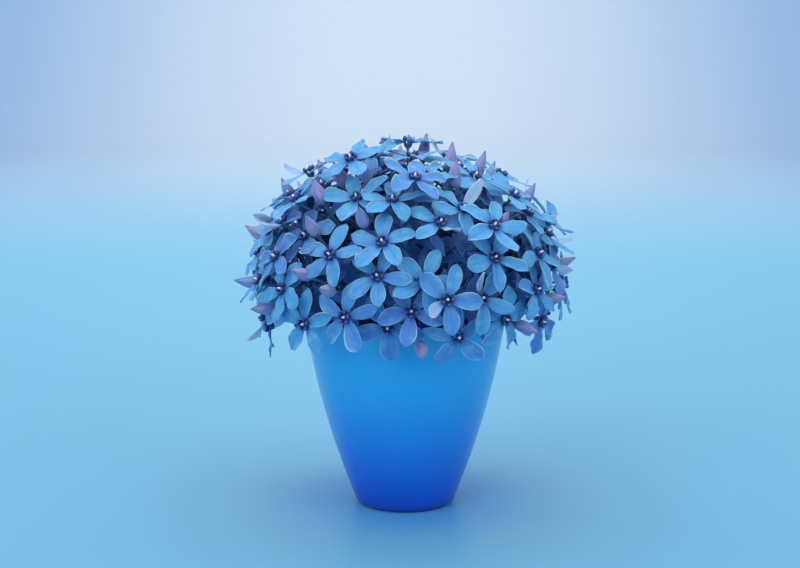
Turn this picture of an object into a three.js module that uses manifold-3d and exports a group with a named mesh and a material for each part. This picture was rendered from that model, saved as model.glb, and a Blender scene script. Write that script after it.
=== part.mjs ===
// A posy of blue star flowers (tweedia) in a small tapered glass vase.
//
// Sixteen cut sprigs stand in the vase. Each one is a stem, a head of open flowers on thin stalks,
// and a few pointed buds. The outer sprigs also carry a leaf that hangs out over the rim. The heads
// make one dome that is wider than the vase. Millimetres, +Z up, origin at the middle of the foot.
import * as THREE from "three";
import { mergeVertices } from "three/addons/utils/BufferGeometryUtils.js";
import Module from "manifold-3d";

const wasm = await Module();
wasm.setup();

// ---- Vase
const VASE_HEIGHT = 84;
const RIM_RADIUS = 43.2;
const HEEL_RADIUS = 20.6; // where the straight taper would meet the table
const BELLY = 2.9; // how far the side stands out from that straight taper, at half height
const FOOT_RADIUS = 17.5;
const HEEL_RISE = 3.5;
const WALL = 2.4;
const FLOOR = 6;
const INNER_HEEL = 6;
const VASE_SIDES = 40;
const SIDE_RINGS = 4;

// ---- Dome of flowers: the surface that the middles of the open flowers lie on
const DOME_RADIUS = 64.5;
const DOME_RISE = 51;
const DOME_LIFT = 16; // from the rim up to the dome's widest level
const LOWEST_LATITUDE = -17;
const UPTURN = 0.3; // how much each flower turns from the dome's own normal towards the sky
const LEAN = 0.16; // most sideways lean of a flower, as a slope

// ---- Flower
const PETAL_REACH = 14; // from the middle of the flower to a petal's tip
const PETAL_WIDTH = 6;
const SHOULDER_REACH = 9.2; // where a petal is widest
const THROAT_RADIUS = 2.9; // where two petals meet
const PETAL_THICKNESS = 0.8;
const CROWN_RADIUS = 2.3;
const CROWN_HEIGHT = 2.6;
const PETALS = 5;

// ---- Bud
const BUD_LENGTH = 12;
const BUD_RADIUS = 2.4;
const BUD_GIRTH_AT = 5; // height of the widest ring
const CALYX_RADIUS = 1.5;
const BUD_STAND = 1.5; // how far the girth stands out past the flowers' surface
const BUD_SIDES = 6;

// ---- Leaf
const LEAF_LENGTH = 27;
const LEAF_WIDTH = 10;
const LEAF_THICKNESS = 1.2;
const LEAF_WIDEST_AT = 0.42; // share of the length
const LEAF_SIDES = 4;
const LEAF_STALK_RADIUS = 0.8;
const LEAF_STALK_TURN = 6; // how far a stalk runs straight at each end
const LEAF_DROP = 11; // down the stem from its top
const LEAF_STAND = 3; // how far a tip stands out past the flowers' surface

// ---- Stems and stalks
const STEM_RADIUS = 1.4;
const STEM_SIDES = 6;
const STALK_RADIUS = 0.65;
const STALK_SIDES = 4;
const STALK_TURN = 10; // how far behind its flower a stalk starts to bend
const HUB_SHARE = 0.5; // how far out from the dome's core the stalks part
const HUB_RADIUS = 1.5;
const HUB_HEIGHT = 3;
const HUB_GIRTH_AT = 0.6; // share of its height
const HUB_SIDES = 4;
const BUD_HUB_DROP = 6; // down the stem from its top
const STEM_BOW = 0.62; // height of a stem's bend, as a share of its rise
const FOOT_SPREAD = 0.42; // a stem's distance from the axis at its foot, as a share of that at its top

const GAP = 0.3; // between pieces that touch
const CLEARANCE = 0.25; // kept round each flower, bud, leaf and stalk while it is placed

const core = new THREE.Vector3(0, 0, VASE_HEIGHT + DOME_LIFT);
const up = new THREE.Vector3(0, 0, 1);

// ---- Who stands where
// Heading (0 is the front, 90 the right-hand side) and latitude on the dome, then spin (0 has a petal
// straight down), in degrees, of the flowers that face the front. The rest follow an even spiral.
const FRONT_FLOWERS = [
  [-25, 19, 36], [-10, 11, 13], [4, 12, 8], [-9, 26, 46], [15, 35, 5], [28, 41, 46], [-3, 44, 24],
  [-24, 46, 68], [14, 62, 19], [2, -1, 67], [14, 1, 15], [28, 0, 61], [35, 17, 64], [-7, -15, 0],
  [-22, -8, 30], [-39, -13, 36], [14, -12, 40], [5, 53, 10],
];
const FRONT_BUDS = [
  [-39, 8], [-28, 2], [-47, 23], [-14, 35], [41, 28], [6, -20], [67, -9], [50, -18], [17, 13],
  [-48, 57], [36, 58], [-62, -12],
];
// Heading and latitude of each leaf's tip, then how far it droops, in degrees.
const LEAVES = [
  [26, -20, 30], [-34, -6, 10], [-55, 22, 0], [52, -22, 30], [84, -20, 25], [-82, -22, 30],
  [116, -10, 10], [-112, -18, 25], [150, -20, 30], [-146, -8, 10], [178, -20, 25],
];
const SPRIGS = 16;
const FLOWER_GAP = 3.7; // from a petal's tip to the middle of the next flower of the spiral
const FRONT_GAP = 0.63; // the same, least, from a spiral flower to a front one
const SPIRAL_START = 25; // heading of the spiral's first flower, degrees
const LEAST_BUDS = 2; // on each sprig
const BUD_SPREAD = 12; // from the sprig's middle, degrees
const GOLDEN_ANGLE = Math.PI * (3 - Math.sqrt(5));

const radians = THREE.MathUtils.degToRad;
const degrees = THREE.MathUtils.radToDeg;
let seed = 20;

// The same sequence of numbers from -1 to 1 on every run.
function random() {
  seed = (seed * 1664525 + 1013904223) % 4294967296;
  return seed / 2147483648 - 1;
}

// The unit vector at a heading and a latitude.
function toward([heading, latitude]) {
  const h = radians(heading);
  const l = radians(latitude);
  return new THREE.Vector3(Math.sin(h) * Math.cos(l), -Math.cos(h) * Math.cos(l), Math.sin(l));
}

// Headings and latitudes spaced evenly from the top of a sphere down to a latitude.
function spiral(count, lowest) {
  const fall = 1 - Math.sin(radians(lowest));
  return Array.from({ length: count }, (_, i) => [
    SPIRAL_START + degrees(i * GOLDEN_ANGLE), degrees(Math.asin(1 - ((i + 0.5) / count) * fall)),
  ]);
}

const between = (a, b) => degrees(toward(a).angleTo(toward(b)));
const nearest = (seat, list) => list.reduce((best, s, i) =>
  between(seat, s) < between(seat, list[best]) ? i : best, 0);

// The point of the dome at a heading and latitude, raised by a lift, and the way a flower faces there.
function onDome(seat, lift) {
  const size = new THREE.Vector3(DOME_RADIUS, DOME_RADIUS, DOME_RISE);
  const direction = toward(seat);
  const outward = direction.clone().divide(size).normalize();
  return {
    point: direction.multiply(size).add(core).addScaledVector(outward, lift),
    facing: outward.clone().addScaledVector(up, UPTURN).normalize(),
  };
}

// ---- Solids
function toSolid(geometry) {
  const loose = geometry.index ? geometry.toNonIndexed() : geometry;
  const bare = new THREE.BufferGeometry().setAttribute("position", loose.getAttribute("position"));
  const merged = mergeVertices(bare, 1e-4);
  return new wasm.Manifold(new wasm.Mesh({
    numProp: 3,
    vertProperties: merged.getAttribute("position").array,
    triVerts: new Uint32Array(merged.index.array),
  }));
}

function toGeometry(solid) {
  const mesh = solid.getMesh();
  return new THREE.BufferGeometry()
    .setAttribute("position", new THREE.BufferAttribute(mesh.vertProperties, 3))
    .setIndex(new THREE.BufferAttribute(mesh.triVerts, 1));
}

const joined = (geometries) =>
  toGeometry(geometries.map(toSolid).reduce((whole, next) => whole.add(next)));

// A round solid about Z from [radius, height] pairs that start and end on the axis, bottom first.
function turned(profile, sides) {
  const points = profile.map(([radius, height]) => new THREE.Vector2(radius, height));
  return new THREE.LatheGeometry(points, sides).rotateX(Math.PI / 2);
}

// A tube along a curve.
function tube(curve, radius, sides, steps) {
  const section = new THREE.Shape();
  for (let i = 0; i < sides; i++) {
    const a = (2 * Math.PI * i) / sides;
    section[i ? "lineTo" : "moveTo"](radius * Math.cos(a), radius * Math.sin(a));
  }
  section.closePath();
  return new THREE.ExtrudeGeometry(section, { steps, extrudePath: curve, bevelEnabled: false });
}

// Turns +Z to a direction with +Y as near to upright as can be, spins about it and moves to a point.
function place(geometry, point, direction, spin = 0) {
  const across = up.clone().cross(direction);
  if (across.length() < 1e-6) across.set(1, 0, 0);
  across.normalize();
  const matrix = new THREE.Matrix4()
    .makeBasis(across, direction.clone().cross(across), direction)
    .multiply(new THREE.Matrix4().makeRotationZ(spin))
    .setPosition(point);
  return geometry.clone().applyMatrix4(matrix);
}

// ---- Vase
const outerRadius = (z) => {
  const t = z / VASE_HEIGHT;
  return HEEL_RADIUS + (RIM_RADIUS - HEEL_RADIUS) * t + BELLY * 4 * t * (1 - t);
};
const innerRadius = (z) => outerRadius(z) - WALL;

// Points of a quarter round from (r, z) on the flat to the side, bulging down and out.
function quarterRound(flatRadius, low, sideRadius, high, steps) {
  return Array.from({ length: steps + 1 }, (_, i) => {
    const a = (i / steps) * (Math.PI / 2);
    return [flatRadius + (sideRadius - flatRadius) * Math.sin(a), high - (high - low) * Math.cos(a)];
  });
}

function vaseGeometry() {
  const lipRadius = WALL / 2;
  const lipLevel = VASE_HEIGHT - lipRadius;
  const innerLow = FLOOR + INNER_HEEL;
  const heel = quarterRound(FOOT_RADIUS, 0, outerRadius(HEEL_RISE), HEEL_RISE, 3);
  const side = (low, radiusAt) => Array.from({ length: SIDE_RINGS }, (_, i) => {
    const z = low + ((lipLevel - low) * (i + 1)) / SIDE_RINGS;
    return [radiusAt(z), z];
  });
  const lip = [0.25, 0.5, 0.75].map((share) => {
    const a = Math.PI * share;
    const middle = outerRadius(lipLevel) - lipRadius;
    return [middle + lipRadius * Math.cos(a), lipLevel + lipRadius * Math.sin(a)];
  });
  const flat = innerRadius(innerLow) - INNER_HEEL;
  const bowl = quarterRound(flat, FLOOR, innerRadius(innerLow), innerLow, 3);
  const inside = [...bowl, ...side(innerLow, innerRadius)].reverse();
  const outside = [...heel, ...side(HEEL_RISE, outerRadius)];
  return turned([[0, 0], ...outside, ...lip, ...inside, [0, FLOOR]], VASE_SIDES);
}

// ---- Flower: a flat star of petals facing +Z, with a pointed crown on top. Both spare the same air.
function starGeometry(spare) {
  const outline = new THREE.Shape();
  const step = (2 * Math.PI) / PETALS;
  const at = (a, along, across) => [
    along * Math.cos(a) - across * Math.sin(a), along * Math.sin(a) + across * Math.cos(a),
  ];
  const half = PETAL_WIDTH / 2 + spare;
  for (let i = 0; i < PETALS; i++) {
    const a = i * step - Math.PI / 2;
    outline[i ? "lineTo" : "moveTo"](...at(a - step / 2, THROAT_RADIUS + spare, 0));
    outline.lineTo(...at(a, SHOULDER_REACH, -half));
    outline.lineTo(...at(a, PETAL_REACH + spare, 0));
    outline.lineTo(...at(a, SHOULDER_REACH, half));
  }
  outline.closePath();
  const depth = PETAL_THICKNESS + 2 * spare;
  return new THREE.ExtrudeGeometry(outline, { depth, bevelEnabled: false })
    .translate(0, 0, spare - depth);
}

const crownGeometry = () => new THREE.ConeGeometry(CROWN_RADIUS, CROWN_HEIGHT, PETALS)
  .rotateX(Math.PI / 2).translate(0, 0, CROWN_HEIGHT / 2 - PETAL_THICKNESS / 2);

const budGeometry = (spare) => turned([
  [0, -spare], [CALYX_RADIUS + spare, 0.8], [BUD_RADIUS + spare, BUD_GIRTH_AT], [0, BUD_LENGTH + spare],
], BUD_SIDES);

const hubGeometry = () =>
  turned([[0, 0], [HUB_RADIUS, HUB_HEIGHT * HUB_GIRTH_AT], [0, HUB_HEIGHT]], HUB_SIDES);

// A flat, four-sided blade from the origin along +Z, broad in X and thin in Y.
const bladeGeometry = (spare) => turned([
  [0, -spare], [0.15 * LEAF_WIDTH, 1], [LEAF_WIDTH / 2 + spare, LEAF_LENGTH * LEAF_WIDEST_AT],
  [0, LEAF_LENGTH],
], LEAF_SIDES).scale(1, (LEAF_THICKNESS + 2 * spare) / (LEAF_WIDTH + 2 * spare), 1);

// ---- Placing: each piece tries one seat after another until it is clear of all that stand already
const standing = [];

function guard(geometry, kind) {
  geometry.computeBoundingBox();
  return { solid: toSolid(geometry), box: geometry.boundingBox.clone(), kind };
}

const meets = (a, b) => a.box.intersectsBox(b.box) && a.solid.intersect(b.solid).volume() > 0;

// Two guards of one named kind may join; the others have to be clear of each other.
const clash = (a, b) => !(a.kind && a.kind === b.kind) && meets(a, b);

function settle(seats) {
  for (const seat of seats) {
    const guards = seat.guards();
    if (!guards.some((g) => standing.some((s) => clash(g, s)))) {
      standing.push(...guards);
      return seat;
    }
  }
  return null;
}

function settleSurely(seats) {
  const seat = settle(seats);
  if (!seat) throw new Error("a piece that has to be there has no clear seat");
  return seat;
}

// Changes to a wanted seat: raised or sunk, spun, or nudged in heading and latitude.
const LIFTS = [0, 1.5, -1.5, 3, -3, 4.5, -4.5, 6, -6, 8, 10, 12, 15, 18];
const SPINS = [0, 6, -6, 12, -12, 18, -18, 24, -24, 30, -30, 36];
const NUDGES = [[0, 0]];
for (const reach of [4, 8, 12, 16]) {
  for (let a = 0; a < 360; a += 45) {
    NUDGES.push([reach * Math.cos(radians(a)), reach * Math.sin(radians(a))]);
  }
}

// Every mix of changes, the smallest first.
function changes(spins) {
  const size = (c) => Math.abs(c.lift) + Math.abs(c.spin) / 5 + Math.hypot(...c.nudge) / 2;
  const mixes = LIFTS.flatMap((lift) =>
    spins.flatMap((spin) => NUDGES.map((nudge) => ({ lift, spin, nudge }))));
  return mixes.sort((a, b) => size(a) - size(b));
}

const flowerChanges = changes(SPINS);
const plainChanges = changes([0]);

const nudged = ([heading, latitude], [across, rise]) =>
  [heading + across / Math.max(0.3, Math.cos(radians(latitude))), Math.min(88, latitude + rise)];

// A stalk that leaves its hub and comes up behind a flower or a bud.
function stalkGeometry(from, point, facing, spare) {
  const behind = point.clone().addScaledVector(facing, -STALK_TURN);
  const curve = new THREE.QuadraticBezierCurve3(from, behind, point);
  return tube(curve, STALK_RADIUS + spare, STALK_SIDES, 2);
}

function flowerSeats(sprig, seat) {
  const lean = new THREE.Vector3(random(), random(), random()).multiplyScalar(LEAN);
  return flowerChanges.map((change) => {
    const { point, facing } = onDome(nudged(seat, change.nudge), change.lift);
    facing.add(lean).normalize();
    const back = point.clone().addScaledVector(facing, -PETAL_THICKNESS / 2);
    const spin = radians(seat[2] + change.spin);
    return {
      parts: () => [
        stalkGeometry(sprig.hub, back, facing, 0), place(starGeometry(0), point, facing, spin),
        place(crownGeometry(), point, facing, spin),
      ],
      guards: () => [
        guard(place(starGeometry(CLEARANCE), point, facing, spin)),
        guard(place(crownGeometry(), point, facing, spin)),
        guard(stalkGeometry(sprig.hub, back, facing, CLEARANCE), "flower stalks " + sprig.index),
      ],
    };
  });
}

function budSeats(sprig, seat) {
  return plainChanges.map(({ lift, nudge }) => {
    const { point, facing } = onDome(nudged(seat, nudge), lift + BUD_STAND - BUD_GIRTH_AT);
    const inside = point.clone().addScaledVector(facing, 0.8);
    return {
      parts: () => [
        stalkGeometry(sprig.budHub, inside, facing, 0), place(budGeometry(0), point, facing),
      ],
      guards: () => [
        guard(place(budGeometry(CLEARANCE), point, facing)),
        guard(stalkGeometry(sprig.budHub, inside, facing, CLEARANCE), "bud stalks " + sprig.index),
      ],
    };
  });
}

// The point on a stem some way below its top, the stem's run there, and the side that faces a target.
function onStem(stem, drop, target) {
  const share = 1 - drop / stem.getLength();
  const point = stem.getPointAt(share);
  const along = stem.getTangentAt(share);
  const side = target.clone().sub(point).projectOnPlane(along).normalize();
  return { point, along, side };
}

function leafSeats(sprigs, [heading, latitude, droop]) {
  const sprig = sprigs[nearest([heading, latitude], sprigs.map((s) => s.seat))];
  return plainChanges.map(({ lift, nudge }) => {
    const { point: tip, facing } = onDome(nudged([heading, latitude], nudge), lift + LEAF_STAND);
    facing.addScaledVector(up, -UPTURN - Math.tan(radians(droop))).normalize();
    const base = tip.clone().addScaledVector(facing, -LEAF_LENGTH);
    const { point, side } = onStem(sprig.stem, LEAF_DROP, base);
    const start = point.addScaledVector(side, STEM_RADIUS + GAP);
    const stalk = (spare) => tube(new THREE.CubicBezierCurve3(
      start, start.clone().addScaledVector(side, LEAF_STALK_TURN),
      base.clone().addScaledVector(facing, -LEAF_STALK_TURN), base.clone().addScaledVector(facing, 1.5),
    ), LEAF_STALK_RADIUS + spare, STALK_SIDES, 4);
    return {
      parts: () => [stalk(0), place(bladeGeometry(0), base, facing)],
      guards: () => [guard(place(bladeGeometry(CLEARANCE), base, facing)), guard(stalk(0))],
    };
  });
}

// ---- Sprigs
// As many spiral flowers as the dome has room for, clear of those at the front.
const domeArea = 2 * Math.PI * DOME_RADIUS ** 2 * (1 - Math.sin(radians(LOWEST_LATITUDE)));
const spiralFlowers = Math.round(domeArea / (PETAL_REACH + FLOWER_GAP) ** 2);
const closest = degrees((PETAL_REACH + FRONT_GAP) / DOME_RADIUS);
const flowerSeatsWanted = [...FRONT_FLOWERS];
for (const seat of spiral(spiralFlowers, LOWEST_LATITUDE)) {
  if (FRONT_FLOWERS.every((front) => between(front, seat) > closest)) {
    flowerSeatsWanted.push([...seat, 36 + 36 * random()]);
  }
}

// The flowers nearest to a sprig's seat, and the middle of them.
function sprigAt(seat, index, seats) {
  const flowers = flowerSeatsWanted.filter((wanted) => nearest(wanted, seats) === index);
  const middle = flowers.reduce((sum, f) => sum.add(onDome(f, 0).point), new THREE.Vector3())
    .divideScalar(flowers.length);
  return { index, seat, flowers, middle, buds: [] };
}

// A stem that stands on the vase's floor and bows outwards towards the middle of its flowers, with the
// hub on its top that their stalks start from.
function stemAt(sprig, share) {
  const top = core.clone().lerp(sprig.middle, share);
  const foot = new THREE.Vector3(top.x * FOOT_SPREAD, top.y * FOOT_SPREAD, FLOOR + 2 * GAP);
  const bend = new THREE.Vector3(
    THREE.MathUtils.lerp(foot.x, top.x, STEM_BOW / 2), THREE.MathUtils.lerp(foot.y, top.y, STEM_BOW / 2),
    THREE.MathUtils.lerp(foot.z, top.z, STEM_BOW),
  );
  const stem = new THREE.QuadraticBezierCurve3(foot, bend, top);
  const run = stem.getTangent(1);
  const hubBase = top.clone().addScaledVector(run, GAP);
  const hub = hubBase.clone().addScaledVector(run, HUB_HEIGHT * HUB_GIRTH_AT);
  const stemPart = (spare) => tube(stem, STEM_RADIUS + spare, STEM_SIDES, 4);
  const hubPart = () => place(hubGeometry(), hubBase, run);
  return {
    stem, hub, stemPart, hubPart,
    guards: () => [guard(stemPart(CLEARANCE)), guard(hubPart(), "flower stalks " + sprig.index)],
  };
}

// A stem that would meet another one stops a little nearer to the dome's core, or further out.
const stemSeats = (sprig) =>
  [0, -0.05, 0.05, -0.1, 0.1, -0.15, 0.15, 0.2].map((more) => stemAt(sprig, HUB_SHARE + more));

const sprigs = spiral(SPRIGS, LOWEST_LATITUDE + 10).map(sprigAt);

for (const seat of FRONT_BUDS) sprigs[nearest(seat, sprigs.map((s) => s.seat))].buds.push(seat);
for (const sprig of sprigs) {
  const first = 180 * random();
  for (let i = 0; sprig.buds.length < LEAST_BUDS; i++) {
    const a = radians(first + 150 * i);
    sprig.buds.push(nudged(sprig.seat, [BUD_SPREAD * Math.cos(a), BUD_SPREAD * Math.sin(a)]));
  }
}

// The buds' hub stands out from the side of the stem, on the side where it is clear.
function budHubSeats(sprig) {
  const middle = sprig.buds.reduce((sum, b) => sum.add(onDome(b, 0).point), new THREE.Vector3())
    .divideScalar(sprig.buds.length);
  const { point, along, side } = onStem(sprig.stem, BUD_HUB_DROP, middle);
  return [0, 40, -40, 80, -80, 120, -120, 180].map((turn) => {
    const out = side.clone().applyAxisAngle(along, radians(turn));
    const base = point.clone().addScaledVector(out, STEM_RADIUS + GAP);
    return {
      hub: base.clone().addScaledVector(out, HUB_HEIGHT * HUB_GIRTH_AT),
      parts: () => [place(hubGeometry(), base, out)],
      guards: () => [guard(place(hubGeometry(), base, out), "bud stalks " + sprig.index)],
    };
  });
}

// ---- Building
const group = new THREE.Group();
const glass = new THREE.MeshStandardMaterial({ color: 0x1f83cf, roughness: 0.3, side: THREE.DoubleSide });
const petal = new THREE.MeshStandardMaterial({ color: 0x5096d2, roughness: 0.6 });
const bud = new THREE.MeshStandardMaterial({ color: 0x8a86bd, roughness: 0.6 });
const green = new THREE.MeshStandardMaterial({ color: 0x3f7a4e, roughness: 0.6 });

function add(name, geometry, material) {
  const mesh = new THREE.Mesh(geometry, material);
  mesh.name = name;
  group.add(mesh);
}

const numbered = (name, index) => name + "_" + String(index + 1).padStart(2, "0");

add("vase", vaseGeometry(), glass);
standing.push(guard(vaseGeometry()));

for (const sprig of sprigs) {
  const seat = settleSurely(stemSeats(sprig));
  sprig.stem = seat.stem;
  sprig.hub = seat.hub;
  sprig.flowerParts = [seat.hubPart()];
  add(numbered("stem", sprig.index), seat.stemPart(0), green);
}
for (const sprig of sprigs) {
  const seat = settleSurely(budHubSeats(sprig));
  sprig.budHub = seat.hub;
  sprig.budParts = seat.parts();
}

// Flowers at the front take their seats first, then the buds, then the other flowers. One that finds
// no room is left out.
function settleFlowers(front) {
  for (const sprig of sprigs) {
    for (const wanted of sprig.flowers.filter((f) => FRONT_FLOWERS.includes(f) === front)) {
      const seat = settle(flowerSeats(sprig, wanted));
      if (seat) sprig.flowerParts.push(...seat.parts());
    }
  }
}

function settleBuds() {
  for (const sprig of sprigs) {
    for (const wanted of sprig.buds) {
      const seat = settle(budSeats(sprig, wanted));
      if (seat) sprig.budParts.push(...seat.parts());
    }
  }
}

settleFlowers(true);
settleBuds();
settleFlowers(false);
for (const sprig of sprigs) {
  add(numbered("flowers", sprig.index), joined(sprig.flowerParts), petal);
  add(numbered("buds", sprig.index), joined(sprig.budParts), bud);
}
LEAVES.forEach((leaf, index) => {
  add(numbered("leaf", index), joined(settleSurely(leafSeats(sprigs, leaf)).parts()), green);
});

export default group;
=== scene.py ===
"""Blue star flowers in a small glass vase.

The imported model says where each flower, bud, leaf and stem is. Every piece here is a surface worked
out on a grid of numbers and laid over its place there. Metres, +Z up.
"""
import math

import bpy
import numpy as np
from mathutils import Matrix


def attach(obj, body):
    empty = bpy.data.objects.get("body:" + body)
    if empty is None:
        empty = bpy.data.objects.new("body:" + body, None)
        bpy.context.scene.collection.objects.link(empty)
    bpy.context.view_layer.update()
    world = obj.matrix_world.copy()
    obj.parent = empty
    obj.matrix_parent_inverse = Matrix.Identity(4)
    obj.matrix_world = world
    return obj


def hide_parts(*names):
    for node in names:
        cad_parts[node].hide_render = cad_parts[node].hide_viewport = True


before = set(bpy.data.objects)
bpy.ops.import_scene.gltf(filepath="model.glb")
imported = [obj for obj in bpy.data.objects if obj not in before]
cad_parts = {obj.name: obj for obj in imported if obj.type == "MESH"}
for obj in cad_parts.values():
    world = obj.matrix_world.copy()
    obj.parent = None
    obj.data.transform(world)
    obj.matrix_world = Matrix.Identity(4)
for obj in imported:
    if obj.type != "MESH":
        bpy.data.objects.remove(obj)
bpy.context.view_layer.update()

MM = 0.001
SPRIGS = range(1, 17)
LEAVES = range(1, 12)
SPRIG_SEED, LEAF_SEED = 400, 600
PETALS = 5  # in a flower or a bud, and as many crown scales and sepals
UP = np.array([0.0, 0.0, 1.0])
HEART = np.array([0, 0, 100 * MM])  # the middle of the dome, which every flower faces away from

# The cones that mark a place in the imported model: how steep their faces stand, as the cosine
# between a face's normal and the cone's axis, and how far the place is below the cone's point.
CROWN_SLOPE, CROWN_TALL = 0.582, 2.2 * MM
BUD_SLOPE, BUD_LONG = 0.2846, 12 * MM
HUB_SLOPE, HUB_DEEP = 0.508, 1.8 * MM
LEAF_TIP_SLOPE = 0.038
SLOPE_MATCH = 0.02  # how far a face's cosine may be from its cone's
LEAST_FACING = 0.8  # cosine between a crown's axis and the way out from the dome's middle
LEAST_FACES = 6  # triangles round a crown's point
HUB_GAP = 0.3 * MM  # from a stem's top to the hub on it
STEM_CORNERS = 6
STALK_TURN = 10 * MM  # how far behind its flower a stalk starts to bend
SAME_PLACE = 0.01 * MM  # corners this close are one
TINY = 1e-9


# ---- Small sums on arrays of vectors
def unit(v):
    """Each vector divided by its length."""
    return v / np.linalg.norm(v, axis=-1, keepdims=True)


def basis(facing):
    """Rows: across (level), upwards and facing, each square to the others."""
    across = np.cross(UP, facing)
    if np.linalg.norm(across) < 1e-6:
        across = np.array([1.0, 0.0, 0.0])
    across = unit(across)
    return np.array([across, np.cross(facing, across), facing])


def laid(middle, rows, x, y, z):
    """The points that are x, y and z along the three rows of a basis from its middle."""
    return middle + x[..., None] * rows[0] + y[..., None] * rows[1] + z[..., None] * rows[2]


def turned(x, y, angle):
    """x and y after a turn by an angle."""
    return x * math.cos(angle) - y * math.sin(angle), x * math.sin(angle) + y * math.cos(angle)


def around(steps):
    """The angles of even steps round a circle."""
    return np.linspace(0, 2 * math.pi, steps, endpoint=False)


def smooth(low, high, x):
    """0 below low, 1 above high, and a soft S between them."""
    t = np.clip((x - low) / (high - low), 0, 1)
    return t * t * (3 - 2 * t)


def bezier(points, t):
    """The Bezier curve through the hull of 3 or 4 points, at each t from 0 to 1."""
    points = np.asarray(points)
    while len(points) > 1:
        if points.ndim == 2:
            points = points[:, None, :]
        points = points[:-1] * (1 - t[:, None]) + points[1:] * t[:, None]
    return points[0]


def merged(points, digits):
    """Each place once, told apart to so many digits of a metre."""
    return np.unique(np.round(points, digits), axis=0)


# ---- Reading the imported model
def triangles(node):
    """The corners of a node's triangles, as an array of (triangle, corner, xyz)."""
    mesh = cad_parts[node].data
    mesh.calc_loop_triangles()
    points = np.empty(len(mesh.vertices) * 3)
    mesh.vertices.foreach_get("co", points)
    corners = np.empty(len(mesh.loop_triangles) * 3, dtype=np.int32)
    mesh.loop_triangles.foreach_get("vertices", corners)
    return points.reshape(-1, 3)[corners].reshape(-1, 3, 3)


def outward(tri):
    """The cross product of two sides of each triangle: its normal, as long as twice its area."""
    return np.cross(tri[:, 1] - tri[:, 0], tri[:, 2] - tri[:, 0])


def cones(node, slope):
    """The points of a node's cones of one slope: a corner whose faces all lean alike from their
    mean. Returns a list of (point, axis, normals of its faces)."""
    tri = triangles(node)
    sides = outward(tri)
    size = np.linalg.norm(sides, axis=1)
    tri, normal = tri[size > TINY], unit(sides[size > TINY])
    keys = np.round(tri.reshape(-1, 3) / SAME_PLACE).astype(np.int64)
    _, first, corner = np.unique(keys, axis=0, return_index=True, return_inverse=True)
    corner = corner.reshape(-1, 3)
    to_next = unit(np.roll(tri, -1, axis=1) - tri)
    to_last = unit(np.roll(tri, 1, axis=1) - tri)
    angle = np.arccos(np.clip((to_next * to_last).sum(-1), -1, 1))
    total = np.zeros((len(first), 3))
    np.add.at(total, corner, normal[:, None, :] * angle[..., None])
    axis = total / np.maximum(np.linalg.norm(total, axis=1, keepdims=True), TINY)
    lean = (axis[corner] * normal[:, None, :]).sum(-1)
    low, high = np.full(len(first), np.inf), np.full(len(first), -np.inf)
    np.minimum.at(low, corner, lean)
    np.maximum.at(high, corner, lean)
    alike = (np.abs(low - slope) < SLOPE_MATCH) & (np.abs(high - slope) < SLOPE_MATCH)
    points = tri.reshape(-1, 3)[first]
    return [(points[m], axis[m], normal[(corner == m).any(axis=1)]) for m in np.flatnonzero(alike)]


def open_flowers(node):
    """Where the petals of each open flower meet, with its basis and the turn of its first petal.
    A crown's five faces lie between its petals, so a petal stands half a fifth from a face. A corner
    that happens to lean like a crown is told from one by its few faces and where it looks."""
    found = []
    for point, axis, normals in cones(node, CROWN_SLOPE):
        if axis @ unit(point - HEART) < LEAST_FACING or len(normals) < LEAST_FACES:
            continue
        rows = basis(axis)
        heading = np.arctan2(normals @ rows[1], normals @ rows[0])
        turn = np.angle(np.exp(1j * PETALS * heading).sum()) / PETALS
        found.append((point - axis * CROWN_TALL, rows, turn + math.pi / PETALS))
    return found


def closed_buds(node):
    """Where each bud starts, and its basis."""
    return [(point - axis * BUD_LONG, basis(axis)) for point, axis, _ in cones(node, BUD_SLOPE)]


def bud_hub(node, curve):
    """The middle of the hub that a sprig's bud stalks start from. Of the cones like a hub's, its
    point is the closest to the top fifth of the stem."""
    near = bezier(curve, np.linspace(0.8, 1, 30))
    marks = [(np.linalg.norm(near - point, axis=1).min(), point - axis * HUB_DEEP)
             for point, axis, _ in cones(node, HUB_SLOPE)]
    return min(marks, key=lambda mark: mark[0])[1]


def flower_hub(curve):
    """The middle of the hub that stands on a stem's top, in line with it."""
    return curve[2] + unit(curve[2] - curve[1]) * (HUB_GAP + HUB_DEEP)


def stem_curve(node):
    """Three points of the Bezier curve that a stem follows: the middles of its six-sided rings give
    its foot, its middle and its top, and the middle gives the bend."""
    points = merged(triangles(node).reshape(-1, 3), 5)
    rings = points[np.argsort(points[:, 2])].reshape(-1, STEM_CORNERS, 3).mean(axis=1)
    foot, middle, top = rings[0], rings[len(rings) // 2], rings[-1]
    return foot, 2 * middle - (foot + top) / 2, top


def leaf_place(node):
    """A leaf's tip, its run from base to tip, its flat side's normal, and where its stalk starts and
    which way it sets out. The tip is the sharpest cone, and its faces share the flat side's way. The
    stalk starts at the flat end whose corner is furthest from the tip."""
    tri = triangles(node)
    points = tri.reshape(-1, 3)
    tip, run, normals = cones(node, LEAF_TIP_SLOPE)[0]
    _, ways = np.linalg.eigh(normals.T @ normals)
    flat = ways[:, -1] * (1 if ways[2, -1] >= 0 else -1)
    far = points[np.argmax(np.linalg.norm(points - tip, axis=1))]
    ends = tri[np.linalg.norm(tri - far, axis=2).min(axis=1) < SAME_PLACE]
    sides = unit(outward(ends))
    out = sides[np.argmin(sides @ unit(tip - far))]
    in_line = np.abs((points - far) @ out) < 0.05 * MM
    close = np.linalg.norm(points - far, axis=1) < 1.8 * MM
    return tip, unit(run), unit(flat), merged(points[in_line & close], 6).mean(axis=0), -out


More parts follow.
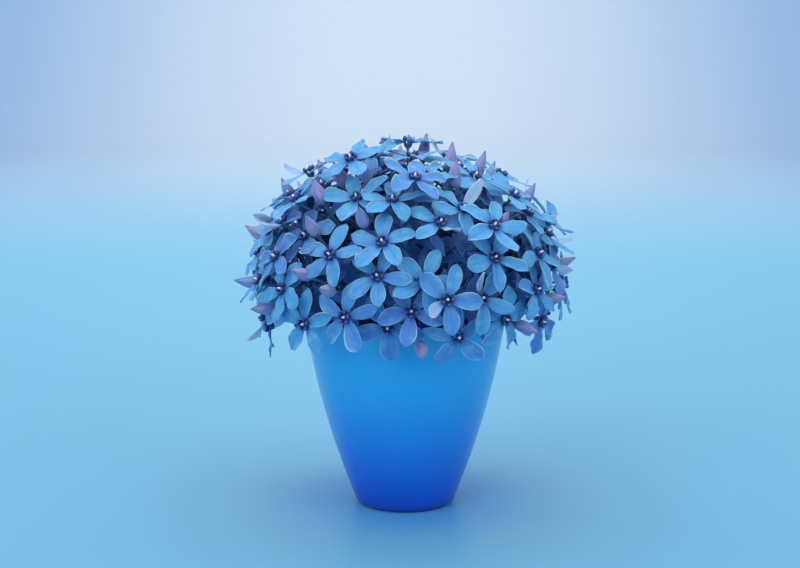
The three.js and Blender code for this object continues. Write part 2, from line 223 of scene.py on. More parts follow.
# ---- Meshes
def smooth_mesh(name, points, faces, material):
    """A mesh of one material, shaded smooth."""
    mesh = bpy.data.meshes.new(name)
    mesh.from_pydata(points.tolist(), [], faces)
    mesh.polygons.foreach_set("use_smooth", np.ones(len(mesh.polygons), dtype=bool))
    mesh.materials.append(material)
    return mesh


def in_scene(name, data):
    """A new object that holds the data, in the scene."""
    made = bpy.data.objects.new(name, data)
    bpy.context.scene.collection.objects.link(made)
    return made


class Heap:
    """Grids gathered into one mesh, with a place along and across each surface and its traits."""

    def __init__(self):
        self.points, self.faces, self.uv, self.traits, self.count = [], [], [], {}, 0

    def loft(self, rings, along, across, **traits):
        """Adds a closed skin over rings of points (ring, step round, xyz), with a face on each end.
        along and across, each one number per point, become the UV map."""
        n, m = rings.shape[:2]
        index = np.arange(n * m).reshape(n, m) + self.count
        right = np.roll(index, -1, axis=1)
        quads = np.stack([index[:-1], right[:-1], right[1:], index[1:]], axis=-1).reshape(-1, 4)
        self.faces += quads.tolist() + [index[0][::-1].tolist(), index[-1].tolist()]
        self.points.append(rings.reshape(-1, 3))
        whole = np.ones((n, m))
        self.uv.append(np.stack([along * whole, across * whole], axis=-1).reshape(-1, 2))
        for key, value in traits.items():
            self.traits.setdefault(key, []).append((value * whole).reshape(-1))
        self.count += n * m

    def piece(self, name, material, slot, *nodes):
        """Makes the piece, sets it on the body that it rides on and hides the nodes that it stands for.
        The slot is not used.
        """
        mesh = smooth_mesh(name, np.concatenate(self.points), self.faces, material)
        corners = np.empty(len(mesh.loops), dtype=np.int32)
        mesh.loops.foreach_get("vertex_index", corners)
        layer = mesh.uv_layers.new(name="surface")
        layer.data.foreach_set("uv", np.concatenate(self.uv)[corners].astype(np.float32).ravel())
        for key, values in self.traits.items():
            trait = mesh.attributes.new(key, "FLOAT", "POINT")
            trait.data.foreach_set("value", np.concatenate(values).astype(np.float32))
        mesh.update()
        made = in_scene(name, mesh)
        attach(made, "root")
        if nodes:
            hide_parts(*nodes)


ASIDE = np.array([0.31, 0.95, 0.02])  # all but level, and no stem or stalk runs along it


def tube(path, radii, sides):
    """Rings round a path. Each is square to the path's run and starts from the direction that is
    square to ASIDE too, and its radius is the one given for its point."""
    run = unit(np.gradient(path, axis=0))
    across = unit(np.cross(run, ASIDE))
    other = np.cross(run, across)
    t = around(sides)
    circle = across[:, None] * np.cos(t)[:, None] + other[:, None] * np.sin(t)[:, None]
    return path[:, None] + circle * np.asarray(radii)[:, None, None]


def flat_tube(u, half, thick, sides):
    """Rings of a thin blade along X: a flattened circle whose width is twice half and whose depth
    is thick, or less where the blade is narrower than that. Returns x, y and z, the side-to-side
    share from -1 to 1, and 1 on the lower face."""
    t = around(sides)[None, :]
    share = np.cos(t)
    x = u[:, None] * np.ones_like(t)
    y = half[:, None] * share
    z = thick / 2 * np.sin(t) * np.minimum(1, half[:, None] / thick)
    return x, y, z, share * np.ones_like(x), (np.sin(t) < -TINY) * np.ones_like(x)


# ---- Petals
PETAL_LONG = 12.4 * MM
PETAL_WIDE = 5.3 * MM, 7.6 * MM  # the narrowest and the widest
PETAL_THICK = 0.34 * MM
PETAL_BASE = 1.7 * MM  # from the middle of the flower to where a petal starts
PETAL_SINK = 0.35 * MM  # its base, below where the petals meet
TIP_BULGE = 0.5 * MM  # how far the middle of the tip stands out past its edges
CURL_RISE = 1.1 * MM
BASE_SHARE = 0.34  # of its width, at its base
WIDEST = 0.58  # of its length
TIRED_SHARE = 0.06  # of all petals
LEAST_HALF = 0.12 * MM  # so that no ring shrinks to a point


def half_width(u, width):
    """Half a petal's width at each share u of its length. It swells from a narrow base as a sine and
    rounds off as a blunt power curve."""
    swell = np.sin(math.pi / 2 * np.clip(u / WIDEST, 0, 1)) ** 1.1
    taper = np.clip(1 - (np.clip(u - WIDEST, 0, 1) / (1 - WIDEST)) ** 2.4, 0, 1) ** 0.62
    return width / 2 * (BASE_SHARE + (1 - BASE_SHARE) * swell) * taper + LEAST_HALF


def petal(heap, middle, rows, turn, chance, tired, shade):
    """One petal. Its height is a slope and a bow along it, a trough across it that deepens with the
    square of the distance from the midrib, an upward curl of one edge, a roll of the tip up or under,
    and a ripple that grows towards the edges. It twists more and more along it, and bends sideways
    with the square of the distance. A tired petal stands up, twists further and shrinks."""
    u = np.sin(math.pi / 2 * np.linspace(0, 1, 19))
    along = u[:, None]
    half = half_width(u, chance.uniform(*PETAL_WIDE) * (0.8 if tired else 1))
    x, y, z, share, under = flat_tube(u, half, PETAL_THICK, 20)
    long = PETAL_LONG * chance.uniform(0.93, 1.05)
    x = PETAL_BASE + long * x + TIP_BULGE * (1 - share**2) * smooth(0.8, 1, along)
    slope, bow = chance.uniform(0.0, 0.2), chance.uniform(-0.3, 0.06)
    if tired:
        slope, bow = chance.uniform(0.1, 0.5), chance.uniform(0.1, 0.5)
    z = z + long * (slope * along + bow * along**2)
    z += chance.uniform(-0.2, 0.5) * share**2 * half[:, None]
    curl = chance.uniform(0, 1) ** 1.5
    edge_side = share * chance.choice([-1.0, 1.0])
    z += CURL_RISE * curl * smooth(0.45, 1.0, edge_side) * smooth(0.25, 0.7, along)
    roll = chance.uniform(-0.8, 1.1) * MM
    z += roll * smooth(0.72, 1.05, along) * (0.3 + 0.7 * share**2)
    waves, phase = chance.uniform(1.0, 2.2), chance.uniform(0, 1, 2)
    ripple = np.sin(2 * math.pi * (waves * along + np.where(share > 0, phase[0], phase[1])))
    z += chance.uniform(0.15, 0.6) * MM * np.abs(share) ** 2.5 * ripple * smooth(0.1, 0.5, along)
    twist = chance.uniform(-0.35, 0.35) * (3.5 if tired else 1) * along
    y, z = y * np.cos(twist), z + y * np.sin(twist)
    y = y + chance.uniform(-0.14, 0.14) * long * along**2
    if tired:
        x = PETAL_BASE + (x - PETAL_BASE) * (1 - 0.3 * along)
        y = y * (1 - 0.25 * along)
    out, side = turned(x, y, turn + chance.uniform(-0.09, 0.09))
    heap.loft(laid(middle, rows, out, side, z - PETAL_SINK), along, (1 + share) / 2,
              under=under, shade=shade + chance.uniform(-0.15, 0.15), tired=float(tired),
              curl=curl * smooth(0.5, 1.0, edge_side))


# ---- Crown: five fleshy scales round a white point
SCALE_REACH = 1.85 * MM  # from the middle of the flower
SCALE_DEEP, SCALE_WIDE = 0.72 * MM, 1.24 * MM  # half its size across the flower and round it
SCALE_TALL, SCALE_SINK, SCALE_LEAN = 2.5 * MM, 0.4 * MM, 0.4 * MM
POINT_GIRTH, POINT_TALL, POINT_SINK = 0.52 * MM, 2.9 * MM, 0.3 * MM


def crown(heap, middle, rows, turn, chance):
    """Each scale is an upright egg, wider round the flower than across it, that leans out as it
    rises. The point is a slim column that swells and closes at its top."""
    t = around(12)[None, :]
    s = np.linspace(0.02, 0.98, 9)[:, None]
    share = t / (2 * math.pi)
    tall = SCALE_TALL * chance.uniform(0.94, 1.06)
    girth = np.sin(math.pi * s) ** 0.55
    x = SCALE_REACH + SCALE_DEEP * girth * np.cos(t) + SCALE_LEAN * s**2
    y = SCALE_WIDE * girth * np.sin(t) * (1 - 0.12 * s)
    z = tall * s * np.ones_like(t) - SCALE_SINK
    for k in range(PETALS):
        out, side = turned(x, y, turn + 2 * math.pi * k / PETALS)
        heap.loft(laid(middle, rows, out, side, z), s, share, white=0.0)
    girth = POINT_GIRTH * (0.75 + 0.35 * np.sin(math.pi * s)) * np.sqrt(1 - s**4)
    x, y = girth * np.cos(t), girth * np.sin(t)
    z = (POINT_TALL * s - POINT_SINK) * np.ones_like(t)
    heap.loft(laid(middle, rows, x, y, z), s, share, white=smooth(0.3, 0.6, s))


# ---- Buds
BUD_GIRTH = 2.65 * MM
BUD_BEND = 1.2 * MM
SEAM_WIND = 0.22  # of a turn, from base to point
SEAM_DEEP = 0.17  # of the radius
SEPAL_HALF, SEPAL_THICK = 0.75 * MM, 0.3 * MM
SEPAL_RISE, SEPAL_SINK, SEPAL_OUT = 3.4 * MM, 0.3 * MM, 0.35 * MM


def closed_bud(heap, start, rows, chance):
    """A spindle of five petals rolled together. Its radius follows a lopsided sine along it, cut by a
    saw of five steps that winds round it, and its point bends a little to one side."""
    t = around(40)[None, :]
    s = np.linspace(0, 1, 30)[:, None]
    long = BUD_LONG * chance.uniform(0.94, 1.03)
    body = np.sin(math.pi * np.clip(s * 0.93 + 0.07, 0, 1) ** 0.82) ** 0.8
    radius = LEAST_HALF + BUD_GIRTH * chance.uniform(0.85, 1.08) * body * (1 - 0.35 * s**2)
    wind = (PETALS * (t / (2 * math.pi) + SEAM_WIND * s) + 0.5) % 1
    radius = radius * (1 - SEAM_DEEP * wind**2 * smooth(0.12, 0.4, s) * (1 - 0.3 * s))
    bend = chance.uniform(-BUD_BEND, BUD_BEND, 2)
    x, y = radius * np.cos(t) + bend[0] * s**2, radius * np.sin(t) + bend[1] * s**2
    z = long * s * np.ones_like(t)
    heap.loft(laid(start, rows, x, y, z), s, wind, shade=chance.uniform(0, 1))


def sepals(heap, start, rows, chance, reach):
    """Five narrow green blades that hug the base of a bud or the back of a flower, each curving out
    and up along a quarter round."""
    u = np.linspace(0, 1, 8)
    half = SEPAL_HALF * np.sin(math.pi * (0.18 + 0.8 * u))
    _, y, thick, share, _ = flat_tube(u, half, SEPAL_THICK, 8)
    quarter = u[:, None] * math.pi / 2
    x = reach * np.sin(quarter) + SEPAL_OUT + thick
    z = SEPAL_RISE * (1 - np.cos(quarter)) - SEPAL_SINK + thick
    for k in range(PETALS):
        out, side = turned(x, y, 2 * math.pi * (k + 0.5) / PETALS + chance.uniform(-0.1, 0.1))
        heap.loft(laid(start, rows, out, side, z), u[:, None], (1 + share) / 2, young=0.6)


# ---- Stems, stalks and leaves
STALK_RADIUS = 0.5 * MM
STEM_RADIUS, STEM_TAPER, JOINT_SWELL = 1.45 * MM, 0.25 * MM, 0.3 * MM
JOINTS = 4.2  # in a stem's length
LEAF_LONG, LEAF_WIDE, LEAF_THICK, LEAF_EDGE = 27 * MM, 10.5 * MM, 0.42 * MM, 0.1 * MM
LEAF_FOLD = 0.28  # slope of each half, from the midrib up
LEAF_RIPPLE = 0.35 * MM
LEAF_STALK_RADIUS = 0.75 * MM
LEAF_STALK_TURN = 6 * MM  # how far a leaf's stalk runs straight at each end
LEAF_STALK_IN = 1.5 * MM  # how far it runs into the blade
SMALL_LEAF_WIDE = 0.46  # of its length

# Small leaves inside the dome: the share of the way up, the length in mm and, on a flower's stalk,
# how young they are.
STEM_PAIRS = (0.84, 21), (0.91, 20), (0.98, 18)
STALK_PAIRS = (0.26, 15, 0.1), (0.45, 13, 0.6), (0.62, 11, 1.0)


def stalk(heap, start, end, facing, flare):
    """A stalk from its hub to the back of a flower or a bud: a Bezier curve that ends square to it,
    and a radius that flares towards that end."""
    t = np.linspace(0, 1, 16)
    path = bezier([start, end - facing * STALK_TURN, end], t)
    radii = STALK_RADIUS + (flare - STALK_RADIUS) * smooth(0.82, 1.0, t) ** 1.5
    heap.loft(tube(path, radii, 8), t[:, None], np.linspace(0, 1, 8)[None, :], young=1.0)


def stem(heap, curve, chance):
    """A stem along its curve, a little thicker at its foot, with swollen joints at even steps."""
    t = np.linspace(0, 1, 60)
    joints = np.exp(-(((t * JOINTS + chance.uniform(0, 1)) % 1 - 0.5) ** 2) / 0.004)
    radii = STEM_RADIUS - STEM_TAPER * t + JOINT_SWELL * joints
    rings = tube(bezier(curve, t), radii, 14)
    heap.loft(rings, t[:, None], np.linspace(0, 1, 14)[None, :], young=0.3)


def blade(heap, base, rows, long, wide, chance, young=0.0, steps=26, sides=18):
    """A leaf's blade along rows[2], broad along rows[0]. Its half width is a sine skewed towards the
    base, it folds a little along the midrib, droops with the square of the distance, and its edges
    ripple."""
    u = np.linspace(0, 1, steps)
    half = wide / 2 * np.sin(math.pi * u**0.72) ** 0.85 * (1 - 0.12 * u) + LEAF_EDGE
    x, y, z, share, under = flat_tube(u, half, LEAF_THICK, sides)
    along = u[:, None]
    z = z + LEAF_FOLD * np.abs(y) + chance.uniform(-0.1, 0.02) * long * along**2
    z = z + LEAF_RIPPLE * np.abs(share) ** 3 * np.sin(13 * along + chance.uniform(0, 6))
    points = laid(base, rows[[2, 0, 1]], long * x, y, z)
    heap.loft(points, along, (1 + share) / 2, young=young, under=under)


def leaf(heap, node, chance):
    """A leaf on its stalk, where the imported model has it."""
    tip, run, flat, start, out = leaf_place(node)
    base = tip - run * LEAF_LONG
    t = np.linspace(0, 1, 20)
    hull = [start, start + out * LEAF_STALK_TURN, base - run * LEAF_STALK_TURN, base + run * LEAF_STALK_IN]
    rings = tube(bezier(hull, t), LEAF_STALK_RADIUS * (1 - 0.2 * t), 8)
    heap.loft(rings, 0.0, 0.5, young=0.5, under=0.0)
    rows = np.array([np.cross(flat, run), flat, run])
    blade(heap, base, rows, LEAF_LONG, LEAF_WIDE, chance)


def leaf_pair(heap, at, run, long, young, lean, chance):
    """Two small leaves that face each other across a stem or a stalk, each set out from its run and
    leaning up along it by up to the slope given."""
    first = unit(np.cross(run, unit(chance.normal(size=3))))
    for side in (first, -first):
        out = unit(side + run * lean * chance.uniform(0.3, 1.0))
        across = unit(np.cross(run, out))
        rows = np.array([across, np.cross(out, across), out])
        own = long * chance.uniform(0.85, 1.1)
        blade(heap, at, rows, own, long * SMALL_LEAF_WIDE, chance, young, 12, 10)


def inner_leaves(heap, curve, hub, heads, chance):
    """Leaves in pairs up a stem's top and on each flower's stalk, inside the dome, younger and bluer
    towards its outside."""
    for t, long in STEM_PAIRS:
        here, ahead = bezier(curve, np.array([t, t + 0.02]))
        leaf_pair(heap, here, unit(ahead - here), long * MM, 0.0, 0.9, chance)
    for middle, rows, _ in heads:
        path = [hub, middle - rows[2] * STALK_TURN, middle]
        for t, long, young in STALK_PAIRS:
            here, ahead = bezier(path, np.array([t + chance.uniform(-0.05, 0.05), t + 0.2]))
            leaf_pair(heap, here, unit(ahead - here), long * MM, young, 0.3, chance)


# ---- Vase
HIGH, RIM, HEEL, BELLY = 84 * MM, 43.2 * MM, 20.6 * MM, 2.9 * MM
FOOT, HEEL_RISE, WALL, FLOOR, BOWL = 17.5 * MM, 3.5 * MM, 2.4 * MM, 6 * MM, 6 * MM
POLE = 0.4 * MM  # radius of the small flat face that closes the foot, and of the floor's


def side_radius(z):
    """The vase's outer radius: a straight taper plus a parabola that stands out most at mid height."""
    t = z / HIGH
    return HEEL + (RIM - HEEL) * t + BELLY * 4 * t * (1 - t)


def vase(heap):
    """A profile turned about Z: a flat foot, a quarter round to the side, the bowed side, a half round
    lip, the inside one wall away, and a rounded bowl down to a flat floor."""
    q = np.linspace(0, math.pi / 2, 12)
    heel_out = side_radius(HEEL_RISE) - FOOT
    heel = np.stack([FOOT + heel_out * np.sin(q), HEEL_RISE * (1 - np.cos(q))], 1)
    top = HIGH - WALL / 2
    z = np.linspace(HEEL_RISE, top, 40)[1:]
    side = np.stack([side_radius(z), z], 1)
    a = np.linspace(0, math.pi, 14)[1:-1]
    lip = np.stack([side_radius(top) - WALL / 2 * (1 - np.cos(a)), top + WALL / 2 * np.sin(a)], 1)
    low = FLOOR + BOWL
    z = np.linspace(top, low, 36)
    inside = np.stack([side_radius(z) - WALL, z], 1)
    flat = side_radius(low) - WALL - BOWL
    bowl = np.stack([flat + BOWL * np.cos(q), low - BOWL * np.sin(q)], 1)[1:]
    foot = np.array([[POLE, 0], [FOOT * 0.5, 0], [FOOT * 0.93, 0]])
    floor = np.array([[flat * 0.5, FLOOR], [POLE, FLOOR]])
    profile = np.concatenate([foot, heel, side, lip, inside, bowl, floor])
    t = around(160)
    r = profile[:, :1]
    rings = np.stack([r * np.cos(t), r * np.sin(t), profile[:, 1:] * np.ones_like(t)], axis=-1)
    heap.loft(rings, np.linspace(0, 1, len(profile))[:, None], (t / (2 * math.pi))[None, :])


# ---- Materials
def srgb(r, g, b):
    """A screen colour from 0 to 255 as the linear colour that shaders use."""
    c = np.array([r, g, b]) / 255
    linear = np.where(c <= 0.04045, c / 12.92, ((c + 0.055) / 1.055) ** 2.4)
    return (*linear.tolist(), 1.0)


class Value:
    """A number in a material. Sums on it add Math nodes."""

    def __init__(self, paint, socket):
        self.paint, self.socket = paint, socket

    def math(self, operation, *values):
        return self.paint.add("ShaderNodeMath", dict(enumerate(values)), operation=operation)

    def __add__(self, other):
        return self.math("ADD", self, other)

    def __sub__(self, other):
        return self.math("SUBTRACT", self, other)

    def __rsub__(self, other):
        return self.math("SUBTRACT", other, self)

    def __mul__(self, other):
        return self.math("MULTIPLY", self, other)

    def __truediv__(self, other):
        return self.math("DIVIDE", self, other)

    def __pow__(self, other):
        return self.math("POWER", self, other)

    __radd__, __rmul__ = __add__, __mul__

    def size(self):
        return self.math("ABSOLUTE", self)

    def sine(self):
        return self.math("SINE", self)

    def between(self, low, high):
        """0 below low, 1 above high and a soft S between."""
        return self.paint.add("ShaderNodeMapRange", {"Value": self, "From Min": low, "From Max": high},
                              interpolation_type="SMOOTHSTEP")


class Paint:
    """A material and its nodes."""

    def __init__(self, name, **uniform):
        self.material = bpy.data.materials.new(name)
        self.material.use_nodes = True
        self.tree = self.material.node_tree
        self.shader = self.tree.nodes["Principled BSDF"]
        for key, value in uniform.items():
            self.shader.inputs[key.replace("_", " ").title().replace("Ior", "IOR")].default_value = value

    def give(self, socket, value):
        if isinstance(value, Value):
            self.tree.links.new(value.socket, socket)
        else:
            socket.default_value = value

    def add(self, kind, values=(), output=0, stops=(), **settings):
        """Adds a node: its settings first, then a ramp's stops, then its sockets' values or links."""
        made = self.tree.nodes.new(kind)
        for key, value in settings.items():
            setattr(made, key, value)
        for place, (position, colour) in enumerate(stops):
            band = made.color_ramp.elements
            stop = band[place] if place < len(band) else band.new(position)
            stop.position, stop.color = position, colour
        for key, value in dict(values).items():
            self.give(made.inputs[key], value)
        return Value(self, made.outputs[output])

    def blend(self, factor, first, second):
        """first where factor is 0, second where it is 1."""
        return self.add("ShaderNodeMix", {0: factor, 6: first, 7: second}, output=2, data_type="RGBA")

    def parts(self, vector):
        """The three numbers of a vector."""
        split = self.tree.nodes.new("ShaderNodeSeparateXYZ")
        self.give(split.inputs[0], vector)
        return [Value(self, socket) for socket in split.outputs]

    def surface(self):
        """The UV map, and the places along and across a piece's own surface that it holds."""
        uv = self.add("ShaderNodeUVMap", uv_map="surface")
        along, across, _ = self.parts(uv)
        return uv, along, across

    def object(self):
        return self.add("ShaderNodeTexCoord", output=3)

    def trait(self, name):
        return self.add("ShaderNodeAttribute", output=2, attribute_name=name)

    def stretched(self, vector, scale):
        return self.add("ShaderNodeMapping", {"Vector": vector, "Scale": scale})

    def noise(self, vector, scale, detail):
        return self.add("ShaderNodeTexNoise", {"Vector": vector, "Scale": scale, "Detail": detail})

    def finish(self, colour, roughness, height, depth):
        """Gives the shader its colour and roughness, and a bump as deep as depth, in metres."""
        self.give(self.shader.inputs["Base Color"], colour)
        self.give(self.shader.inputs["Roughness"], roughness)
        bump = self.add("ShaderNodeBump", {"Height": height, "Distance": depth, "Strength": 1.0})
        self.give(self.shader.inputs["Normal"], bump)
        return self.material


def petal_paint():
    """Velvety sky blue that leans to violet from flower to flower, deeper at the throat, with fine
    veins along it and a soft midrib. The pale rim is a painted highlight where the edges catch the
    light, brightest where the edge curls. The back is paler and more lilac, and a tired petal has faded."""
    p = Paint("petal_blue", sheen_weight=0.35, sheen_roughness=0.4, subsurface_weight=0.6,
              subsurface_scale=0.002, specular_ior_level=0.3)
    p.shader.inputs["Subsurface Radius"].default_value = (0.6, 0.8, 1.0)
    p.shader.inputs["Sheen Tint"].default_value = srgb(170, 205, 245)
    uv, along, across = p.surface()
    shade, under, tired = p.trait("shade"), p.trait("under"), p.trait("tired")
    side = (across - 0.5).size() * 2
    veins = p.noise(p.stretched(uv, (2.2, 26.0, 1.0)), scale=1.0, detail=4.0)
    mottle = p.noise(p.object(), scale=240.0, detail=3.0)
    colour = p.blend(shade.between(0.0, 1.0), srgb(74, 156, 206), srgb(76, 122, 192))
    colour = p.blend(veins.between(0.35, 0.75) * 0.5, colour, srgb(50, 120, 190))
    colour = p.blend(mottle.between(0.45, 0.75) * 0.35, colour, srgb(124, 188, 226))
    colour = p.blend(under * 0.45, colour, srgb(122, 156, 206))
    colour = p.blend(tired * 0.55, colour, srgb(176, 190, 220))
    rib = 1 - side.between(0.0, 0.09)
    colour = p.blend(rib * 0.35, colour, srgb(52, 110, 190))
    throat = 1 - along.between(0.02, 0.3)
    colour = p.blend(throat * 0.6, colour, srgb(38, 78, 164))
    # Painted highlight: a pale rim where the petal edges catch the light, brightest where an edge curls
    # up.
    rim = side.between(0.84, 1.0) * along.between(0.1, 0.35)
    colour = p.blend(rim * (0.25 + p.trait("curl") * 0.75), colour, srgb(196, 222, 246))
    fine = p.noise(p.object(), scale=2600.0, detail=2.0)
    height = veins * 0.6 + fine * 0.35 - rib * 0.5
    return p.finish(colour, 0.5 + mottle * 0.15, height, depth=0.00022)


def crown_paint():
    """Waxy navy scales, a little paler at their tips, round a near-white point."""
    p = Paint("crown_navy", coat_weight=0.25, coat_roughness=0.3, specular_ior_level=0.5)
    _, along, _ = p.surface()
    grain = p.noise(p.object(), scale=900.0, detail=3.0)
    colour = p.blend(grain.between(0.3, 0.8), srgb(18, 34, 96), srgb(34, 66, 142))
    colour = p.blend(along.between(0.7, 1.0) * 0.4, colour, srgb(74, 104, 178))
    colour = p.blend(p.trait("white"), colour, srgb(236, 236, 246))
    return p.finish(colour, 0.34 + grain * 0.2, grain, depth=0.0001)


def bud_paint():
    """Mauve pink that cools to blue in places, with painted shade in the seams between the rolled
    petals, fine veins along it and a green base."""
    p = Paint("bud_mauve", sheen_weight=0.3, sheen_roughness=0.4, subsurface_weight=0.15,
              subsurface_scale=0.002, specular_ior_level=0.35)
    uv, along, wind = p.surface()
    veins = p.noise(p.stretched(uv, (2.0, 9.0, 1.0)), scale=1.0, detail=4.0)
    mottle = p.noise(p.object(), scale=190.0, detail=3.0)
    colour = p.blend(p.trait("shade"), srgb(146, 144, 192), srgb(112, 146, 200))
    colour = p.blend(mottle.between(0.4, 0.7) * 0.55, colour, srgb(178, 156, 188))
    colour = p.blend(veins.between(0.4, 0.75) * 0.35, colour, srgb(96, 112, 172))
    # Painted shade: the seams between the rolled petals are darker, standing for the shade in them.
    painted_seam_shade = wind.between(0.86, 0.99) * along.between(0.1, 0.3)
    colour = p.blend(painted_seam_shade * 0.7, colour, srgb(70, 70, 140))
    colour = p.blend(along.between(0.8, 1.0) * 0.5, colour, srgb(92, 86, 160))
    colour = p.blend(1 - along.between(0.03, 0.2), colour, srgb(92, 130, 120))
    return p.finish(colour, 0.5 + mottle * 0.12, veins, depth=0.0002)


def green_paint(name, deep, fresh):
    """Soft grey green painted blue, to stand for the blue light that filters through the petals; deep on
    old parts and fresher on young ones, with long fibres and down.
    """
    p = Paint(name, sheen_weight=0.2, sheen_roughness=0.5, specular_ior_level=0.4)
    uv, _, _ = p.surface()
    fibres = p.noise(p.stretched(uv, (6.0, 9.0, 1.0)), scale=2.0, detail=3.0)
    mottle = p.noise(p.object(), scale=320.0, detail=4.0)
    colour = p.blend(p.trait("young"), deep, fresh)
    colour = p.blend(mottle.between(0.4, 0.75) * 0.4, colour, srgb(84, 124, 156))
    colour = p.blend(fibres.between(0.45, 0.7) * 0.3, colour, srgb(30, 66, 96))
    return p.finish(colour, 0.55 + fibres * 0.15, fibres + mottle * 0.5, depth=0.00015)


def leaf_paint():
    """Green painted blue and lighter, to stand for the blue light that filters through the petals, with a
    pale midrib and side veins that run out and forwards from it.
    """
    p = Paint("leaf_green", sheen_weight=0.15, specular_ior_level=0.45)
    _, along, across = p.surface()
    side = (across - 0.5).size() * 2
    rib = 1 - side.between(0.02, 0.1)
    lines = ((along * 60.0 - side * 16.0).sine() + 1.0) / 2
    veins = lines ** 8.0 * (1 - side.between(0.7, 1.0))
    mottle = p.noise(p.object(), scale=260.0, detail=4.0)
    # The blues here are painted light: a green leaf shown as lit by the blue light that filters through
    # the petals.
    colour = p.blend(mottle.between(0.35, 0.7), srgb(50, 112, 200), srgb(56, 130, 184))
    colour = p.blend(p.trait("young") * 0.85, colour, srgb(62, 124, 200))
    colour = p.blend(veins * 0.3, colour, srgb(70, 130, 190))
    colour = p.blend(rib * 0.4, colour, srgb(84, 134, 160))
    colour = p.blend(p.trait("under") * 0.3, colour, srgb(66, 108, 150))
    height = mottle * 0.6 - veins - rib * 0.8
    return p.finish(colour, 0.42 + mottle * 0.15, height, depth=0.0003)


def glass_paint():
    """Glass coloured through, sky blue at the rim and deep ultramarine at the foot, with faint slow
    clouds, a satin skin and a soft glow from within. The darkening towards the foot is partly the
    glass's own blue and partly painted shade, for the thicker glass and the dimmer light low down."""
    p = Paint("vase_glass", coat_weight=0.5, coat_roughness=0.12, subsurface_weight=0.35,
              subsurface_scale=0.006, specular_ior_level=0.5)
    p.shader.inputs["Subsurface Radius"].default_value = (0.25, 0.6, 1.0)
    place = p.object()
    clouds = p.noise(place, scale=26.0, detail=2.0)
    grain = p.noise(place, scale=700.0, detail=2.0)
    level = p.parts(place)[2] / HIGH + (clouds - 0.5) * 0.12
    # Lighter at the top, darker at the foot: the glass's own blue, with painted shade for the thicker
    # glass and the dimmer light low down.
    colour = p.add("ShaderNodeValToRGB", {0: level}, stops=[
        (0.0, srgb(3, 52, 170)), (0.12, srgb(6, 84, 200)), (0.32, srgb(14, 120, 216)),
        (0.62, srgb(22, 158, 228)), (0.9, srgb(26, 178, 242)), (1.0, srgb(54, 190, 246)),
    ])
    return p.finish(colour, 0.24 + clouds * 0.08, grain, depth=0.00002)


def sweep_paint():
    """The blue table and backdrop, with the faintest grain: a little lighter to the back, and a painted
    vignette on the wall behind, palest in its middle and darker to the sides. Round the vase's foot the
    table has a painted soft blue shadow, for the light and shade that the blue glass throws."""
    p = Paint("pale_table", specular_ior_level=0.22)
    place = p.object()
    across, back, _ = p.parts(place)
    grain = p.noise(place, scale=60.0, detail=3.0)
    reach = p.add("ShaderNodeVectorMath", {0: place}, output=1, operation="LENGTH")
    # Painted vignette: the wall is palest in its middle and darker to the sides, as the light falls off.
    pale = p.blend(across.size().between(0.05, 0.7), srgb(194, 206, 216), srgb(122, 156, 192))
    colour = p.blend(back.between(-0.4, 0.9), srgb(98, 160, 192), srgb(114, 174, 200))
    colour = p.blend(reach.between(0.55, 1.5) * back.between(-0.9, 0.3), colour, pale)
    colour = p.blend(grain * 0.08, colour, srgb(100, 150, 200))
    # Painted shadow: a soft blue patch round the vase's foot, for the light and shade that the blue glass
    # throws on the table.
    painted_glass_shadow = 1 - reach.between(0.015, 0.07)
    colour = p.blend(painted_glass_shadow * 0.5, colour, srgb(30, 140, 214))
    return p.finish(colour, 0.42, grain, depth=0.0001)


# ---- The flowers in their vase
petal_finish, crown_finish, bud_finish = petal_paint(), crown_paint(), bud_paint()
# These blues are painted light: green stems shown as lit by the blue light that filters through the
# petals.
stem_finish = green_paint("stem_green", srgb(40, 88, 134), srgb(72, 128, 166))
leaf_finish, glass_finish = leaf_paint(), glass_paint()

# Behind a flower's middle or ahead of a bud's start: where its stalk ends and its sepals start. Then
# the radius that the stalk flares to, and how far out the sepals reach.
FLOWER_STALK_END, FLOWER_SEPALS, FLOWER_FLARE, FLOWER_REACH = 0.9 * MM, 2.6 * MM, 1.5 * MM, 1.6 * MM
BUD_STALK_END, BUD_FLARE, BUD_REACH = 0.4 * MM, 1.1 * MM, 1.9 * MM


def sprig(number):
    """One stem with its flowers, its buds and the small leaves among them, as five pieces."""
    chance = np.random.default_rng(SPRIG_SEED + number)
    label = f"{number:02d}"
    petals, crowns, buds, greens, shade_leaves = Heap(), Heap(), Heap(), Heap(), Heap()
    curve = stem_curve("stem_" + label)
    stem(greens, curve, chance)
    hub = flower_hub(curve)
    heads = open_flowers("flowers_" + label)
    for middle, rows, turn in heads:
        shade = chance.uniform(0, 1) ** 1.6
        for k in range(PETALS):
            tired = chance.uniform() < TIRED_SHARE
            petal(petals, middle, rows, turn + 2 * math.pi * k / PETALS, chance, tired, shade)
        crown(crowns, middle, rows, turn, chance)
        stalk(greens, hub, middle - rows[2] * FLOWER_STALK_END, rows[2], FLOWER_FLARE)
        sepals(greens, middle - rows[2] * FLOWER_SEPALS, rows, chance, FLOWER_REACH)
    low_hub = bud_hub("buds_" + label, curve)
    for start, rows in closed_buds("buds_" + label):
        closed_bud(buds, start, rows, chance)
        stalk(greens, low_hub, start + rows[2] * BUD_STALK_END, rows[2], BUD_FLARE)
        sepals(greens, start, rows, chance, BUD_REACH)
    inner_leaves(shade_leaves, curve, hub, heads, chance)
    petals.piece("petals_" + label, petal_finish, "petal", "flowers_" + label)
    crowns.piece("crowns_" + label, crown_finish, "petal")
    buds.piece("mauve_buds_" + label, bud_finish, "bud", "buds_" + label)
    greens.piece("stem_and_stalks_" + label, stem_finish, "stem", "stem_" + label)
    shade_leaves.piece("inner_leaves_" + label, leaf_finish, "leaf")


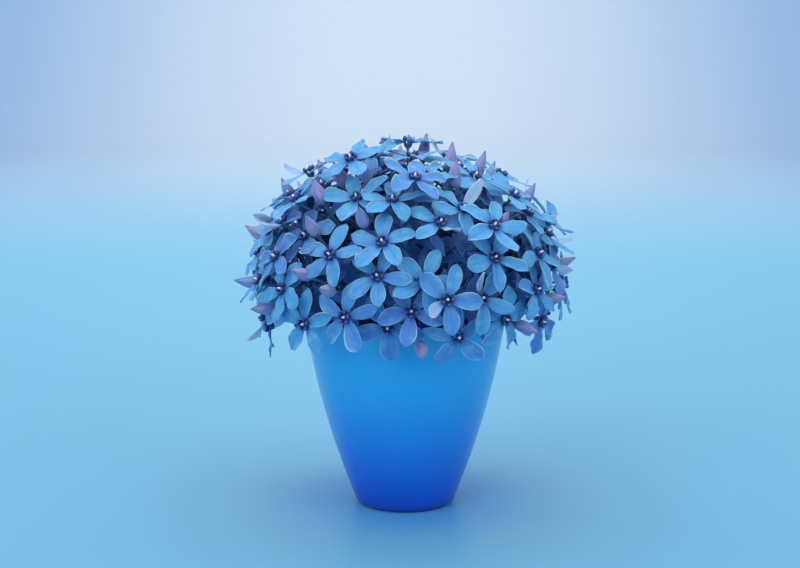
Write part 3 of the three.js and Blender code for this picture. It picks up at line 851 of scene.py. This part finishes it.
glass = Heap()
vase(glass)
glass.piece("vase_of_blue_glass", glass_finish, "glass", "vase")

for number in SPRIGS:
    sprig(number)

for number in LEAVES:
    label = f"{number:02d}"
    blades = Heap()
    leaf(blades, "leaf_" + label, np.random.default_rng(LEAF_SEED + number))
    blades.piece("leaf_on_stalk_" + label, leaf_finish, "leaf", "leaf_" + label)


# ---- Table, light and camera
TABLE_REACH, WALL_ROUND = 1.4, 0.6
SWEEP_SIDES = 96


def sweep():
    """A level round table that curves up into a low wall all round, as one sheet: rings whose radius
    and height run straight out to TABLE_REACH, then follow a quarter round of WALL_ROUND."""
    level = np.linspace(0.01, TABLE_REACH, 30)
    a = np.linspace(0, math.pi / 2, 24)[1:]
    radius = np.concatenate([level, TABLE_REACH + WALL_ROUND * np.sin(a)])[:, None]
    height = np.concatenate([0 * level, WALL_ROUND * (1 - np.cos(a))])[:, None]
    t = around(SWEEP_SIDES)[None, :]
    grid = np.stack([radius * np.cos(t), radius * np.sin(t), height * np.ones_like(t)], axis=-1)
    index = np.arange(len(radius) * SWEEP_SIDES).reshape(len(radius), SWEEP_SIDES)
    right = np.roll(index, -1, axis=1)
    quads = np.stack([index[:-1], index[1:], right[1:], right[:-1]], axis=-1).reshape(-1, 4).tolist()
    quads.append(index[0].tolist())
    mesh = smooth_mesh("table_and_backdrop", grid.reshape(-1, 3), quads, sweep_paint())
    in_scene("table_and_backdrop", mesh)


def soft_light(name, place, aim, size, power, colour):
    """A square area light at a place, turned to face its aim and hidden from the camera."""
    light = bpy.data.lights.new(name, "AREA")
    light.size, light.energy, light.color = size, power, colour
    made = in_scene(name, light)
    facing = unit(np.asarray(aim, dtype=float) - np.asarray(place, dtype=float))
    turn = Matrix([list(row) for row in basis(-facing)]).transposed().to_4x4()
    made.matrix_world = Matrix.Translation(place) @ turn
    made.visible_camera = False


sweep()
soft_light("overhead", (-0.15, 0.05, 1.3), (0, 0, 0.08), 2.2, 12.0, (1.0, 0.99, 0.98))
soft_light("front_left", (-0.75, -1.0, 0.7), (0, 0, 0.08), 1.0, 8.5, (0.95, 1.0, 1.0))
soft_light("right_fill", (0.95, -0.75, 0.6), (0, 0, 0.09), 0.9, 5.0, (0.9, 0.97, 1.0))
soft_light("backdrop_wash", (0, 0.6, 1.6), (0, 2.0, 0.5), 1.6, 20.0, (1.0, 1.0, 1.0))

world = bpy.data.worlds.new("studio")
world.use_nodes = True
background = world.node_tree.nodes["Background"]
background.inputs["Color"].default_value = srgb(222, 232, 246)
background.inputs["Strength"].default_value = 0.72
bpy.context.scene.world = world
bpy.context.scene.view_settings.view_transform = "Standard"

LOOKS_DOWN = 10.5  # degrees below level

camera = bpy.data.cameras.new("viewer")
camera.lens, camera.sensor_width = 85, 36
camera.clip_start, camera.clip_end = 0.02, 20
viewer = in_scene("viewer", camera)
viewer.location = (-0.0022, -0.790, 0.2415)
viewer.rotation_euler = (math.radians(90 - LOOKS_DOWN), 0, 0)
bpy.context.scene.camera = viewer
